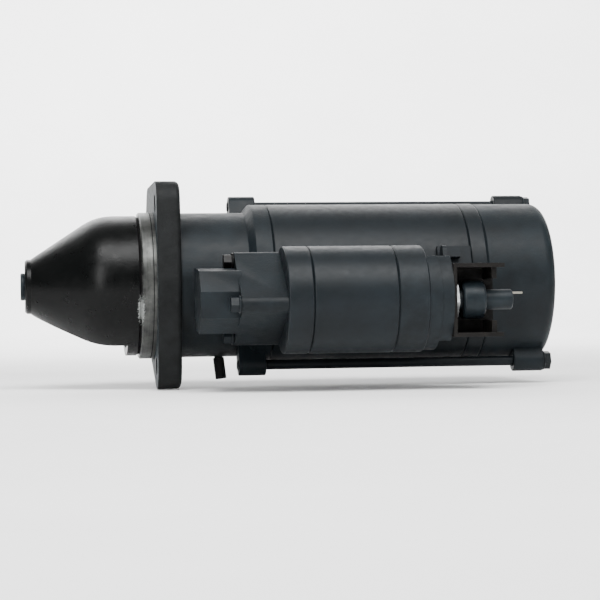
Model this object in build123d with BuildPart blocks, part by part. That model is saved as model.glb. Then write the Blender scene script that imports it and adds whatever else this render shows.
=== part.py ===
"""Heavy-duty 24 V pre-engaged starter motor with planetary reduction, all sizes in millimetres.

The armature axis lies on X. The origin is the centre of the pilot at the flange's engine face, the nose
points to -X and the solenoid hangs beside the motor, on the -Y side and a little below its axis.
"""

import os
from math import acos, atan, cos, degrees, pi, radians, sin, tan

from build123d import *

# ---------------------------------------------------------------- driving sizes: casings
pilot_r = 44.5            # register that centres the starter in the clutch housing
pilot_length = 8.9
flange_length = 14.3
flange_rim = 3.0          # how far the flange's hub stands out past the pilot
bolt_circle_r = 56.0
bolt_hole_r = 5.5
flange_lobe_r = 13.5
nose_step = 2.0           # how far the nose is set in from the pilot
nose_wall = 4.6
nose_barrel = 34.3        # length of the straight part of the nose, ahead of the flange's face
nose_cone = 42.7          # length of its cone
nose_tip_r = 16.5
window_rear = 16.7        # distance from the flange's face to the opening for the ring gear
window_depth = 13.0       # distance from the axis to the plane that opens the nose
window_angle = -50.0      # direction in which the ring gear arrives, from +Y towards +Z
housing_r = 44.0
housing_wall = 4.5
barrel_length = 43.2      # drive housing, from the flange to where it widens to the yoke's size
drum_length = 12.0
yoke_r = 48.8
yoke_wall = 5.4
yoke_length = 119.2
brush_ring_length = 10.3
cover_length = 42.7
cover_wall = 3.6
seam = 0.7                # chamfer at each joint line between casings

# ---------------------------------------------------------------- driving sizes: fasteners
through_bolt_r = 2.95
through_bolt_offset = 5.1  # bolt's axis outside the yoke's surface
through_bolt_angle = 64.7
lug_r = 6.4
front_lug_length = 16.5
rear_lug_length = 18.5
rear_lug_inset = 4.2
bolt_clearance = 0.3
screw_r = 2.95
screw_clearance = 0.25
screw_inset = 6.0         # solenoid screws' axes inside the solenoid's rim
screw_lobe_r = 5.4
screw_angles = [65, 185, 305]

# ---------------------------------------------------------------- driving sizes: solenoid
solenoid_gap = 1.2        # between the yoke and the solenoid
solenoid_angle = 7.02     # how far the solenoid hangs below the motor axis, in degrees
solenoid_r = 31.0
can_wall = 3.2
mount_ring_length = 14.8
can_length = 48.7
cap_base_length = 17.8
cap_deck_length = 14.2
bracket_length = 26.4
boot_length = 22.0
boot_flats = 36.0
boot_bore_r = 14.8
neck_half_width = 15.0
neck_slot = 16.8
plunger_r = 13.2
plunger_gap = 0.3
plunger_travel = 11.0
lever_upper = 33.0        # lever's pivot to the plunger's eye
terminal_rise = -1.0      # battery stud's height above the solenoid axis
battery_offset = -12.0    # battery stud's place across the solenoid axis, away from the motor
motor_offset = 15.0       # motor stud's place, towards the motor
motor_rise = -7.5

# ---------------------------------------------------------------- driving sizes: drive line
shaft_r = 9.0
journal_r = 7.0
bush_wall = 2.6
running_gap = 0.06
pinion_teeth = 10
pinion_module = 3.0
pinion_length = 22.0
clutch_length = 26.0
clutch_r = 27.0
sleeve_r = 14.0
groove_width = 8.0        # groove that the shift fork runs in
collar_width = 3.0
collar_r = 21.0
spline_count = 8
spline_r = 10.4
gear_module = 1.75
sun_teeth = 12
planet_teeth = 15
ring_teeth = 42
planet_count = 3
gear_length = 11.0
planet_pin_r = 4.0
carrier_length = 5.0

# ---------------------------------------------------------------- driving sizes: electrical parts
core_r = 30.0
core_length = 74.0
armature_slots = 24
air_gap = 0.7
magnet_count = 6
magnet_span = 44.0
commutator_r = 20.0
commutator_length = 27.0
brush_count = 4
brush_width = 9.0
brush_length = 15.0
brush_height = 13.0
brush_lift = 3.0
rear_journal_r = 7.0
bearing_r = 13.0
bearing_width = 9.0

# ---------------------------------------------------------------- places worked out from the sizes
nose_r = pilot_r - nose_step
nose_shoulder_x = -nose_barrel
nose_tip_x = nose_shoulder_x - nose_cone
flange_hub_r = pilot_r + flange_rim
housing_bore_r = housing_r - housing_wall
drum_x = flange_length + barrel_length
yoke_front_x = drum_x + drum_length
yoke_rear_x = yoke_front_x + yoke_length
yoke_bore_r = yoke_r - yoke_wall
brush_ring_rear_x = yoke_rear_x + brush_ring_length
cover_rear_x = brush_ring_rear_x + cover_length
cover_bore_r = yoke_r - cover_wall
cover_floor_x = cover_rear_x - cover_wall

bolt_circle_outer_r = yoke_r + through_bolt_offset
bolt_places = [through_bolt_angle, through_bolt_angle + 180]
front_lug_x = drum_x - 8.0
rear_lug_x = cover_rear_x - rear_lug_inset - rear_lug_length

axis_distance = yoke_r + solenoid_gap + solenoid_r
solenoid_y = -axis_distance * cos(radians(solenoid_angle))
solenoid_z = -axis_distance * sin(radians(solenoid_angle))
solenoid_centre = (solenoid_y, solenoid_z)
screw_circle_r = solenoid_r - screw_inset
mount_ring_x = drum_x + 10.9
can_front_x = mount_ring_x + mount_ring_length
can_rear_x = can_front_x + can_length
cap_step_x = can_rear_x + cap_base_length
cap_rear_x = cap_step_x + cap_deck_length
bracket_x = mount_ring_x - bracket_length
boot_x = bracket_x - boot_length

lever_lower = axis_distance - lever_upper
drive_travel = plunger_travel * lever_lower / lever_upper
groove_x = drum_x - 15.5
lever_pivot_x = groove_x - drive_travel / 2
lever_tilt = degrees(atan(plunger_travel / 2 / lever_upper))
pinion_x = nose_shoulder_x - 1.7
clutch_x = pinion_x + pinion_length + 2.0
shell_rear_x = clutch_x + clutch_length
support_x = drum_x - 6.5
carrier_x = drum_x + 4.5
gear_x = carrier_x + carrier_length + 1.0
ring_gear_r = yoke_bore_r - 0.4
sun_pitch_r = gear_module * sun_teeth / 2
planet_pitch_r = gear_module * planet_teeth / 2
planet_circle_r = sun_pitch_r + planet_pitch_r

core_front_x = yoke_front_x + 22.5
core_rear_x = core_front_x + core_length
commutator_x = core_rear_x + 19.0
bearing_x = cover_rear_x - 15.7

os.makedirs("parts", exist_ok=True)


# ---------------------------------------------------------------- helpers
def across(x, centre=(0, 0), turn=0):
    """Plane square to X at x, with its local x along +Y and its local y along +Z, turned about X."""
    y_dir = cos(radians(turn))
    z_dir = sin(radians(turn))
    return Plane(origin=(x, *centre), x_dir=(0, y_dir, z_dir), z_dir=(1, 0, 0))


def turned(*profile, centre=(0, 0), mode=Mode.ADD):
    """Adds the ring swept by a closed profile of (x, radius) points about an axis along X."""
    plane = Plane(origin=(0, *centre), x_dir=(1, 0, 0), z_dir=(0, 0, 1))
    with BuildSketch(plane) as section:
        with BuildLine():
            Polyline(*profile, close=True)
        make_face()
    revolve(section.sketch, axis=Axis((0, *centre), (1, 0, 0)), mode=mode)


def ring(x0, x1, outer, inner=0.0, centre=(0, 0), mode=Mode.ADD, edge=0.0):
    """Adds a tube along X, or a rod if it has no inner radius, with its outer edges chamfered."""
    corners = [(x0, outer), (x1, outer)]
    if edge:
        corners = [(x0, outer - edge), (x0 + edge, outer), (x1 - edge, outer), (x1, outer - edge)]
    turned((x0, inner), *corners, (x1, inner), centre=centre, mode=mode)


def polar(radius, angle, centre=(0, 0)):
    """(Y, Z) of a point at a radius and an angle from +Y towards +Z."""
    return (centre[0] + radius * cos(radians(angle)), centre[1] + radius * sin(radians(angle)))


def hexagon(x0, x1, flats, centre=(0, 0), turn=0, mode=Mode.ADD):
    """Adds a hexagonal prism along X with the given size across its flats."""
    with BuildSketch(across(x0, centre, turn)) as outline:
        RegularPolygon(flats / 2, 6, major_radius=False)
    extrude(outline.sketch, amount=x1 - x0, mode=mode)


def involute_face(teeth, module, turn=0.0, addendum=0.8, dedendum=1.1, backlash=0.1, inner=False):
    """Sketch of a spur gear, or of the hole of a ring gear, with a tooth or a space centred at turn."""
    pressure = radians(25)
    pitch = module * teeth / 2
    base = pitch * cos(pressure)
    tip = pitch + module * (dedendum if inner else addendum)
    root = pitch - module * (addendum if inner else dedendum)
    start = max(base, root)
    half_pitch_angle = (pi * module / 2 + (backlash if inner else -backlash)) / 2 / pitch
    involute_at_pitch = tan(pressure) - pressure

    def flank(radius, side):
        alpha = acos(min(1.0, base / radius))
        angle = half_pitch_angle + involute_at_pitch - (tan(alpha) - alpha)
        return Vector(radius * cos(side * angle), radius * sin(side * angle))

    steps = [start + (tip - start) * i / 4 for i in range(5)]
    rising = [flank(r, -1) for r in steps]
    falling = [flank(r, 1) for r in reversed(steps)]
    foot_angle = half_pitch_angle + involute_at_pitch - (tan(acos(base / start)) - acos(base / start))
    foot = Vector(root * 0.97 * cos(foot_angle), -root * 0.97 * sin(foot_angle))
    with BuildSketch() as tooth:
        with BuildLine():
            Spline(*rising)
            Line(rising[-1], falling[0])
            Spline(*falling)
            Line(falling[-1], Vector(foot.X, -foot.Y))
            Line(Vector(foot.X, -foot.Y), foot)
            Line(foot, rising[0])
        make_face()
    with BuildSketch() as gear:
        Circle(root)
        with PolarLocations(0, teeth, start_angle=turn):
            add(tooth.sketch)
    return gear.sketch


def coil_spring(origin, direction, radius, wire_r, height, turns):
    """Adds a coil spring of round wire that starts at origin and runs along direction."""
    base = Plane(origin=origin, z_dir=direction)
    path = Edge.make_helix(height / turns, height, radius).moved(base.location)
    with BuildSketch(Plane(origin=path @ 0, z_dir=path % 0)) as wire:
        Circle(wire_r)
    sweep(wire.sketch, path=path, is_frenet=True)


def finished(builder, label):
    """Labels a finished piece and writes it to its own file."""
    builder.part.label = label
    export_step(builder.part, f"parts/{label}.step")


# ================================================================ nose, flange and drive housing
lobe_count = 3
plain_lobe_angle = 58.0   # lobe without a hole, on the side away from the solenoid
nose_tip_length = 7.0
nose_end_wall = 16.5
shoulder = ((-8, 5.4), (-5, 3.7), (-2, 2.3), (1, 1.3), (4, 0.6), (7, 0.2), (10, 0))

# Cast nose with its pilot and three-lobed flange, open on one side where the ring gear passes.
with BuildPart() as nose_housing:
    turned((nose_tip_x, 0), (nose_tip_x, nose_tip_r - 1.2), (nose_tip_x + 1.2, nose_tip_r),
           (nose_tip_x + 3.6, nose_tip_r), (nose_tip_x + 3.6, nose_tip_r + 0.2),
           *((nose_shoulder_x + x, nose_r - drop) for x, drop in shoulder), (-pilot_length - 1.6, nose_r),
           (-pilot_length - 0.8, nose_r - 1.0), (-pilot_length, nose_r - 1.0),
           (-pilot_length, pilot_r - seam), (-pilot_length + seam, pilot_r), (0, pilot_r), (0, 0))
    with BuildSketch(across(0)) as flange_outline:
        with PolarLocations(bolt_circle_r, lobe_count):
            Circle(flange_lobe_r)
        with Locations(polar(bolt_circle_r, plain_lobe_angle)):
            Circle(flange_lobe_r)
        Circle(flange_hub_r)
        make_hull()
    extrude(amount=flange_length)
    back_edges = faces().filter_by(Axis.X).sort_by(Axis.X)[-1].edges()
    fillet(back_edges, 3.0)
    nose_bore_r = nose_r - nose_wall
    cavity_x = nose_tip_x + nose_end_wall
    turned((cavity_x, 0), (cavity_x, nose_tip_r - 4), (nose_shoulder_x - 1, nose_bore_r - 1),
           (nose_shoulder_x + 2, nose_bore_r), (flange_length, nose_bore_r), (flange_length, 0),
           mode=Mode.SUBTRACT)
    ring(nose_tip_x - 1, 0, journal_r + bush_wall, mode=Mode.SUBTRACT)
    window_front_x = nose_tip_x + nose_tip_length
    with BuildSketch(across(window_front_x, turn=window_angle)):
        with Locations((window_depth + nose_r, 0)):
            Rectangle(2 * nose_r, 4 * nose_r)
    extrude(amount=-window_rear - window_front_x, mode=Mode.SUBTRACT)
    with BuildSketch(across(-1)):
        with PolarLocations(bolt_circle_r, lobe_count):
            Circle(bolt_hole_r)
    extrude(amount=flange_length + 2, mode=Mode.SUBTRACT)
finished(nose_housing, "nose_housing")

# Pressed-in cup that shuts the nose bore from outside.
with BuildPart() as nose_plug:
    ring(nose_tip_x - 2.7, nose_tip_x, journal_r + bush_wall - 1.3, edge=0.5)
    ring(nose_tip_x, nose_tip_x + 2.0, journal_r + bush_wall)
finished(nose_plug, "nose_plug")

# Sintered bronze bush for the drive shaft's front journal.
with BuildPart() as nose_bush:
    ring(nose_tip_x + 3.0, nose_tip_x + nose_end_wall - 0.5, journal_r + bush_wall, journal_r + running_gap)
finished(nose_bush, "nose_bush")

# Drive housing: barrel, drum, solenoid bracket, neck for the lever, and the two threaded bolt lugs.
return_wire_r = 0.7
return_spring_r = plunger_r + 1.4
bracket_bore_r = return_spring_r + return_wire_r + 0.9
plunger_front_x = bracket_x + 5.0
neck_floor_r = housing_r - 8.0
bore_step_x = support_x - 1.0
support_r = housing_bore_r + 0.5
lug_root = 10.0
lever_pin_r = 4.0
lever_axis = (0, -sin(radians(solenoid_angle)), cos(radians(solenoid_angle)))
pivot_plane = Plane(origin=(lever_pivot_x, *polar(lever_lower, 180 + solenoid_angle)), x_dir=(1, 0, 0),
                    z_dir=lever_axis)
drain_x = groove_x - 2.0
drain_r = 2.6
with BuildPart() as drive_housing:
    ring(flange_length, drum_x + 1, housing_r)
    turned((drum_x - 2.5, 0), (drum_x - 2.5, housing_r), (drum_x, yoke_r - 1.5), (drum_x + 1.5, yoke_r),
           (yoke_front_x - seam, yoke_r), (yoke_front_x, yoke_r - seam), (yoke_front_x, 0))
    for bolt_angle in bolt_places:
        with BuildSketch(across(front_lug_x, turn=bolt_angle)):
            with Locations((bolt_circle_outer_r, 0)):
                Circle(lug_r)
            with Locations((bolt_circle_outer_r - lug_root, 0)):
                Rectangle(2 * lug_root, 2 * lug_r)
        extrude(amount=front_lug_length)
    with BuildSketch(across(bracket_x, solenoid_centre)):
        with Locations(*[polar(screw_circle_r, angle) for angle in screw_angles]):
            Circle(screw_lobe_r)
        make_hull()
    extrude(amount=mount_ring_x - bracket_x)
    with BuildSketch(across(boot_x, solenoid_centre, solenoid_angle)):
        RegularPolygon(boot_flats / 2, 8, major_radius=False, rotation=22.5)
    extrude(amount=bracket_x - boot_x + 2)
    with BuildSketch(across(boot_x + 2, turn=solenoid_angle)):
        with Locations((-(axis_distance + neck_floor_r) / 2, 0)):
            Rectangle(axis_distance - neck_floor_r, 2 * neck_half_width)
    extrude(amount=drum_x - boot_x - 2)
    ring(flange_length, bore_step_x, housing_bore_r, mode=Mode.SUBTRACT)
    ring(bore_step_x, drum_x + 0.5, support_r, mode=Mode.SUBTRACT)
    ring(drum_x + 0.5, yoke_front_x, ring_gear_r, mode=Mode.SUBTRACT)
    ring(boot_x + 2.5, mount_ring_x, boot_bore_r, centre=solenoid_centre, mode=Mode.SUBTRACT)
    ring(plunger_front_x, mount_ring_x, bracket_bore_r, centre=solenoid_centre, mode=Mode.SUBTRACT)
    with BuildSketch(across(boot_x + 4, turn=solenoid_angle)):
        with Locations((-(axis_distance + neck_floor_r - 6) / 2, 0)):
            Rectangle(axis_distance - neck_floor_r + 6, neck_slot)
    extrude(amount=bore_step_x - boot_x, mode=Mode.SUBTRACT)
    with BuildSketch(pivot_plane.offset(-neck_half_width - 1)):
        Circle(lever_pin_r)
    extrude(amount=2 * neck_half_width + 2, mode=Mode.SUBTRACT)
    for angle in screw_angles:
        ring(bracket_x - 1, mount_ring_x, screw_r + screw_clearance,
             centre=polar(screw_circle_r, angle, solenoid_centre), mode=Mode.SUBTRACT)
    for bolt_angle in bolt_places:
        ring(front_lug_x - 1, front_lug_x + front_lug_length + 1, through_bolt_r,
             centre=polar(bolt_circle_outer_r, bolt_angle), mode=Mode.SUBTRACT)
    with BuildSketch(Plane(origin=(drain_x, 0, -housing_r - 2), x_dir=(1, 0, 0), z_dir=(0, 0, 1))):
        Circle(drain_r)
    extrude(amount=housing_wall + 4, mode=Mode.SUBTRACT)
finished(drive_housing, "drive_housing")

# Rubber drain elbow under the housing, leaning back a little, with a flared top inside the drain hole.
with BuildPart() as drain_tube:
    with BuildSketch(Plane(origin=(drain_x, 0, -housing_r + 3), x_dir=(1, 0, 0), z_dir=(0, 0, -1))):
        Circle(drain_r)
    extrude(amount=4.0)
    with BuildSketch(Plane(origin=(drain_x, 0, -housing_r - 0.6), x_dir=(1, 0, 0), z_dir=(0.12, 0, -1))):
        Circle(3.4)
    extrude(amount=13.0)
    with BuildSketch(Plane(origin=(drain_x + 0.9, 0, -housing_r - 6), x_dir=(1, 0, 0), z_dir=(0.12, 0, -1))):
        Circle(2.2)
    extrude(amount=12.0, mode=Mode.SUBTRACT)
finished(drain_tube, "drain_tube")

# Hardened pin that the shift lever turns on, held in both cheeks of the neck.
with BuildPart() as lever_pin:
    with BuildSketch(pivot_plane.offset(-neck_half_width)):
        Circle(lever_pin_r)
    extrude(amount=2 * neck_half_width)
finished(lever_pin, "lever_pin")


# ================================================================ drive line
sun_stub_r = 5.0
carrier_r = 33.0
support_bore_r = 13.6
support_journal_r = 11.6
shield_x = gear_x + gear_length + 2.5
support_gap = 0.8         # between the fixed support and the shaft's shoulders

# Fixed plate behind the drive housing bore that carries the shaft between clutch and gears.
with BuildPart() as centre_support:
    ring(support_x, drum_x + 0.5, support_r, support_bore_r)
    ring(drum_x + 0.5, carrier_x - support_gap, ring_gear_r, support_bore_r)
    with BuildSketch(across(support_x)):
        with PolarLocations(26.5, 6):
            Circle(6.5)
    extrude(amount=4.0, mode=Mode.SUBTRACT)
finished(centre_support, "centre_support")

with BuildPart() as centre_bush:
    ring(support_x, carrier_x - support_gap, support_bore_r, support_journal_r + running_gap, edge=0.4)
finished(centre_bush, "centre_bush")

# Internally toothed ring, keyed by its rim between the drive housing and the yoke.
with BuildPart() as ring_gear:
    with BuildSketch(across(carrier_x - support_gap)):
        Circle(ring_gear_r)
    extrude(amount=shield_x - carrier_x + support_gap)
    hole = involute_face(ring_teeth, gear_module, turn=90, inner=True)
    extrude(across(carrier_x - 1) * hole, amount=shield_x - carrier_x + 2, mode=Mode.SUBTRACT)
finished(ring_gear, "ring_gear")

# Drive shaft: front journal, smooth run for the pinion, splines for the clutch, and the planet carrier.
spline_x = shell_rear_x + 0.5
spline_width = 3.2
journal_end_x = nose_tip_x + nose_end_wall + 2.5
with BuildPart() as drive_shaft:
    ring(nose_tip_x + 3.5, journal_end_x, journal_r, edge=0.8)
    ring(journal_end_x, spline_x, shaft_r)
    ring(spline_x, support_x - support_gap, shaft_r - 0.4)
    with BuildSketch(across(spline_x)):
        with PolarLocations((shaft_r + spline_r) / 2 - 0.7, spline_count):
            Rectangle(spline_r - shaft_r + 1.4, spline_width)
    extrude(amount=support_x - support_gap - spline_x)
    ring(support_x - support_gap, carrier_x, support_journal_r)
    ring(carrier_x, carrier_x + carrier_length, carrier_r, edge=0.8)
    ring(carrier_x - 10, carrier_x + carrier_length + 1, sun_stub_r + 1.2, mode=Mode.SUBTRACT)
    planet_places = [polar(planet_circle_r, 90 + 360 / planet_count * i) for i in range(planet_count)]
    for place in planet_places:
        ring(carrier_x - 1, carrier_x + carrier_length + 1, planet_pin_r, centre=place, mode=Mode.SUBTRACT)
finished(drive_shaft, "drive_shaft")

with BuildPart() as planet_pins:
    for place in planet_places:
        ring(carrier_x, gear_x + gear_length + 0.6, planet_pin_r, centre=place, edge=0.4)
finished(planet_pins, "planet_pins")

with BuildPart() as pilot_bush:
    ring(carrier_x - 9, carrier_x + carrier_length, sun_stub_r + 1.2, sun_stub_r + running_gap)
finished(pilot_bush, "pilot_bush")

# Stop collar and its snap ring at the front end of the pinion's travel.
stop_x = pinion_x - drive_travel - 1.0
with BuildPart() as stop_collar:
    ring(stop_x - 4.0, stop_x, 12.4, shaft_r, edge=0.6)
finished(stop_collar, "stop_collar")

for i, place in enumerate(planet_places):
    with BuildPart() as planet_gear:
        facing_sun = 270 + 360 / planet_count * i + 180 / planet_teeth
        face = involute_face(planet_teeth, gear_module, turn=facing_sun)
        extrude(across(gear_x, place) * face, amount=gear_length)
        ring(gear_x - 1, gear_x + gear_length + 1, planet_pin_r + running_gap, centre=place,
             mode=Mode.SUBTRACT)
    finished(planet_gear, f"planet_gear_{i + 1}")

# Overrunning clutch: shell with roller pockets and the splined sleeve that the shift fork slides.
race_r = 13.5
roller_r = 4.0
roller_circle_r = race_r + roller_r + 0.1
roller_count = 5
roller_length = clutch_length - 12.0
roller_x = clutch_x + 7.0
sleeve_rear_x = groove_x + groove_width / 2 + collar_width
with BuildPart() as clutch_shell:
    ring(clutch_x + 2.0, shell_rear_x, clutch_r - 1.0, edge=1.0)
    ring(shell_rear_x, sleeve_rear_x, sleeve_r)
    for side in (-1, 1):
        start = groove_x + side * (groove_width + collar_width) / 2 - collar_width / 2
        ring(start, start + collar_width, collar_r, edge=0.6)
    ring(clutch_x + 1, shell_rear_x - 2.5, race_r + 0.15, mode=Mode.SUBTRACT)
    with BuildSketch(across(roller_x - 0.3)):
        with PolarLocations(roller_circle_r, roller_count, start_angle=18):
            Circle(roller_r + 0.15)
    extrude(amount=roller_length + 0.6, mode=Mode.SUBTRACT)
    ring(shell_rear_x - 3, shell_rear_x + 6, spline_r + 0.3, mode=Mode.SUBTRACT)
    ring(shell_rear_x - 3, sleeve_rear_x + 1, shaft_r + running_gap, mode=Mode.SUBTRACT)
    with BuildSketch(across(shell_rear_x - 3)):
        with PolarLocations((shaft_r + spline_r) / 2 - 0.7, spline_count):
            Rectangle(spline_r - shaft_r + 1.8, spline_width + 0.3)
    extrude(amount=sleeve_rear_x - shell_rear_x + 4, mode=Mode.SUBTRACT)
finished(clutch_shell, "clutch_shell")

# Pressed steel cup crimped over the clutch shell.
with BuildPart() as clutch_cover:
    cup_hole_r = race_r + 2.1
    turned((clutch_x, cup_hole_r), (clutch_x, clutch_r - 1.5), (clutch_x + 1.5, clutch_r),
           (shell_rear_x - 1.2, clutch_r), (shell_rear_x, clutch_r - 1.2), (shell_rear_x, clutch_r - 2.0),
           (shell_rear_x - 1.0, clutch_r - 1.0), (clutch_x + 3.0, clutch_r - 1.0),
           (clutch_x + 2.0, clutch_r - 2.0), (clutch_x + 2.0, cup_hole_r))
finished(clutch_cover, "clutch_cover")

with BuildPart() as clutch_rollers:
    for i in range(roller_count):
        ring(roller_x, roller_x + roller_length, roller_r, edge=0.4,
             centre=polar(roller_circle_r, 18 + 360 / roller_count * i))
finished(clutch_rollers, "clutch_rollers")

# Drive pinion with the clutch's inner race behind it, in one forging.
with BuildPart() as drive_pinion:
    face = involute_face(pinion_teeth, pinion_module, turn=90, addendum=0.95, dedendum=1.15)
    extrude(across(pinion_x) * face, amount=pinion_length)
    tip_r = pinion_module * (pinion_teeth / 2 + 0.95)
    turned((pinion_x - 1, tip_r - 3.2), (pinion_x - 1, tip_r + 2), (pinion_x + 2.6, tip_r + 2),
           (pinion_x + 2.6, tip_r + 0.01), mode=Mode.SUBTRACT)
    ring(pinion_x + pinion_length, clutch_x + 5.0, race_r - 0.5)
    ring(clutch_x + 5.0, shell_rear_x - 3.0, race_r)
    ring(pinion_x - 1, shell_rear_x, shaft_r + running_gap, mode=Mode.SUBTRACT)
finished(drive_pinion, "drive_pinion")

# Forged shift lever: eye end in the plunger, boss on the pin, and a fork whose pads run in the groove.
fork_pad_r = groove_width / 2 - 0.25
fork_inner = collar_r + 0.6
fork_thick = 3.8
bridge_r = clutch_r
boss_r = 7.4
lever_half_width = 7.8
eye_half_width = 4.5
eye_r = 3.6
with BuildPart() as shift_lever:
    lever_dir = (sin(radians(lever_tilt)), cos(radians(lever_tilt)))

    def at(radius):
        """Place along the tilted lever in the lever's plane, by distance from the motor axis."""
        reach = (lever_lower - radius) / lever_dir[1]
        return (lever_dir[0] * reach, lever_dir[1] * reach)

    with BuildSketch(pivot_plane.offset(-eye_half_width)):
        with Locations((0, 0)):
            Circle(boss_r)
        with Locations(at(axis_distance)):
            Circle(eye_r)
        make_hull()
    extrude(amount=2 * eye_half_width)
    with BuildSketch(pivot_plane.offset(-lever_half_width)):
        Circle(boss_r)
    extrude(amount=2 * lever_half_width)
    with BuildSketch(pivot_plane.offset(-lever_half_width)):
        with Locations((0, 0)):
            Circle(boss_r - 1.4)
        with Locations(at(bridge_r)):
            Circle(3.4)
        make_hull()
    extrude(amount=2 * lever_half_width)
    with BuildSketch(pivot_plane.offset(-fork_inner - fork_thick)):
        with Locations(at(bridge_r)):
            Circle(2.9)
    extrude(amount=2 * (fork_inner + fork_thick))
    for side in (-1, 1):
        offset = -fork_inner - fork_thick if side < 0 else fork_inner
        with BuildSketch(pivot_plane.offset(offset)):
            with Locations(at(bridge_r)):
                Circle(2.9)
            with Locations(at(0)):
                Circle(fork_pad_r)
            make_hull()
        extrude(amount=fork_thick)
        pad_offset = -fork_inner if side < 0 else sleeve_r + 0.6
        with BuildSketch(pivot_plane.offset(pad_offset)):
            with Locations(at(0)):
                Circle(fork_pad_r)
        extrude(amount=fork_inner - sleeve_r - 0.6)
    with BuildSketch(pivot_plane.offset(-lever_half_width - 1)):
        Circle(lever_pin_r + running_gap)
    extrude(amount=2 * lever_half_width + 2, mode=Mode.SUBTRACT)
finished(shift_lever, "shift_lever")


# ================================================================ motor
# Rolled steel yoke, plain outside, with a window near its rear for the lead block.
lock_nut = 4.6
lead_x = cap_rear_x + lock_nut
lead_length = 18.0
lead_width = 8.0
lead_angle = 162.0
with BuildPart() as yoke:
    ring(yoke_front_x, yoke_rear_x, yoke_r, edge=seam)
    ring(yoke_front_x - 1, yoke_rear_x + 1, yoke_bore_r, mode=Mode.SUBTRACT)
    with BuildSketch(across(lead_x, turn=lead_angle)):
        with Locations((yoke_r, 0)):
            Rectangle(4 * yoke_wall, lead_width)
    extrude(amount=lead_length, mode=Mode.SUBTRACT)
finished(yoke, "yoke")

# Steel shield that keeps gear grease off the armature.
with BuildPart() as motor_shield:
    ring(shield_x, shield_x + 1.6, ring_gear_r, 12.0)
finished(motor_shield, "motor_shield")

# Field magnets, glued inside the yoke.
magnet_x = core_front_x - 4.0
magnet_length = core_length + 6.0
magnet_gap = 2 * core_r * sin(radians((360 / magnet_count - magnet_span) / 2))
with BuildPart() as field_magnets:
    with BuildSketch(across(magnet_x)):
        Circle(yoke_bore_r)
        Circle(core_r + air_gap, mode=Mode.SUBTRACT)
        with PolarLocations(yoke_bore_r, magnet_count, start_angle=30):
            Rectangle(yoke_bore_r, magnet_gap, mode=Mode.SUBTRACT)
    extrude(amount=magnet_length)
finished(field_magnets, "field_magnets")

core_bore_r = 9.5
hub_r = 13.0

# Armature shaft: sun gear in front, core seat, commutator seat and rear journal.
with BuildPart() as armature_shaft:
    ring(carrier_x - 8.5, gear_x - 0.5, sun_stub_r, edge=0.4)
    face = involute_face(sun_teeth, gear_module, turn=90)
    extrude(across(gear_x - 0.5) * face, amount=gear_length + 1.5)
    ring(gear_x + gear_length + 1.0, core_front_x - 8.5, 8.0)
    ring(core_front_x - 8.5, commutator_x + commutator_length + 3.0, core_bore_r)
    ring(commutator_x + commutator_length + 3.0, bearing_x + bearing_width - 1.8, rear_journal_r, edge=0.6)
finished(armature_shaft, "armature_shaft")

# Laminated core with semi-closed winding slots.
with BuildPart() as armature_core:
    with BuildSketch(across(core_front_x)) as lamination:
        Circle(core_r)
        with PolarLocations(core_r - 5.0, armature_slots):
            Rectangle(8.0, 3.4, mode=Mode.SUBTRACT)
        with PolarLocations(core_r, armature_slots):
            Rectangle(4.0, 1.4, mode=Mode.SUBTRACT)
        Circle(core_bore_r, mode=Mode.SUBTRACT)
    extrude(amount=core_length)
finished(armature_core, "armature_core")

# Copper winding: the bars that fill the slots and the two rings of end turns.
with BuildPart() as armature_winding:
    ring(core_front_x - 8.5, core_front_x, core_r - 1.0, 17.0, edge=2.0)
    ring(core_rear_x, commutator_x, core_r - 1.0, 17.0, edge=3.0)
    with BuildSketch(across(core_front_x)):
        with PolarLocations(core_r - 5.0, armature_slots):
            Rectangle(7.4, 3.0)
    extrude(amount=core_length)
finished(armature_winding, "armature_winding")

# Copper commutator with undercut bars, on a moulded hub.
with BuildPart() as commutator:
    ring(commutator_x, commutator_x + 3.0, commutator_r + 2.2, hub_r)
    ring(commutator_x + 3.0, commutator_x + commutator_length, commutator_r, hub_r, edge=0.5)
    with BuildSketch(across(commutator_x - 1)):
        with PolarLocations(commutator_r, armature_slots):
            Rectangle(5.0, 0.7)
    extrude(amount=commutator_length + 2, mode=Mode.SUBTRACT)
finished(commutator, "commutator")

with BuildPart() as commutator_hub:
    ring(commutator_x, commutator_x + commutator_length + 1.0, hub_r, core_bore_r)
finished(commutator_hub, "commutator_hub")

# ================================================================ brush gear and rear cover
# Ring between yoke and rear cover that carries the brush plate.
with BuildPart() as brush_ring:
    ring(yoke_rear_x, brush_ring_rear_x, yoke_r, edge=seam)
    ring(yoke_rear_x - 1, brush_ring_rear_x + 1, cover_bore_r, mode=Mode.SUBTRACT)
finished(brush_ring, "brush_ring")

brush_x = commutator_x + 8.0
brush_angles = [45 + 360 / brush_count * i for i in range(brush_count)]
brush_plate_x = brush_x - 4.0
plate_thick = 2.4
post_circle_r = cover_bore_r - 7.7
post_r = 2.0
with BuildPart() as brush_plate:
    ring(brush_plate_x, brush_plate_x + plate_thick, cover_bore_r, commutator_r + 3.4)
    with BuildSketch(across(brush_plate_x)):
        with PolarLocations(post_circle_r, 2, start_angle=90):
            Circle(4.0)
    extrude(amount=plate_thick, mode=Mode.SUBTRACT)
finished(brush_plate, "brush_plate")

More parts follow.
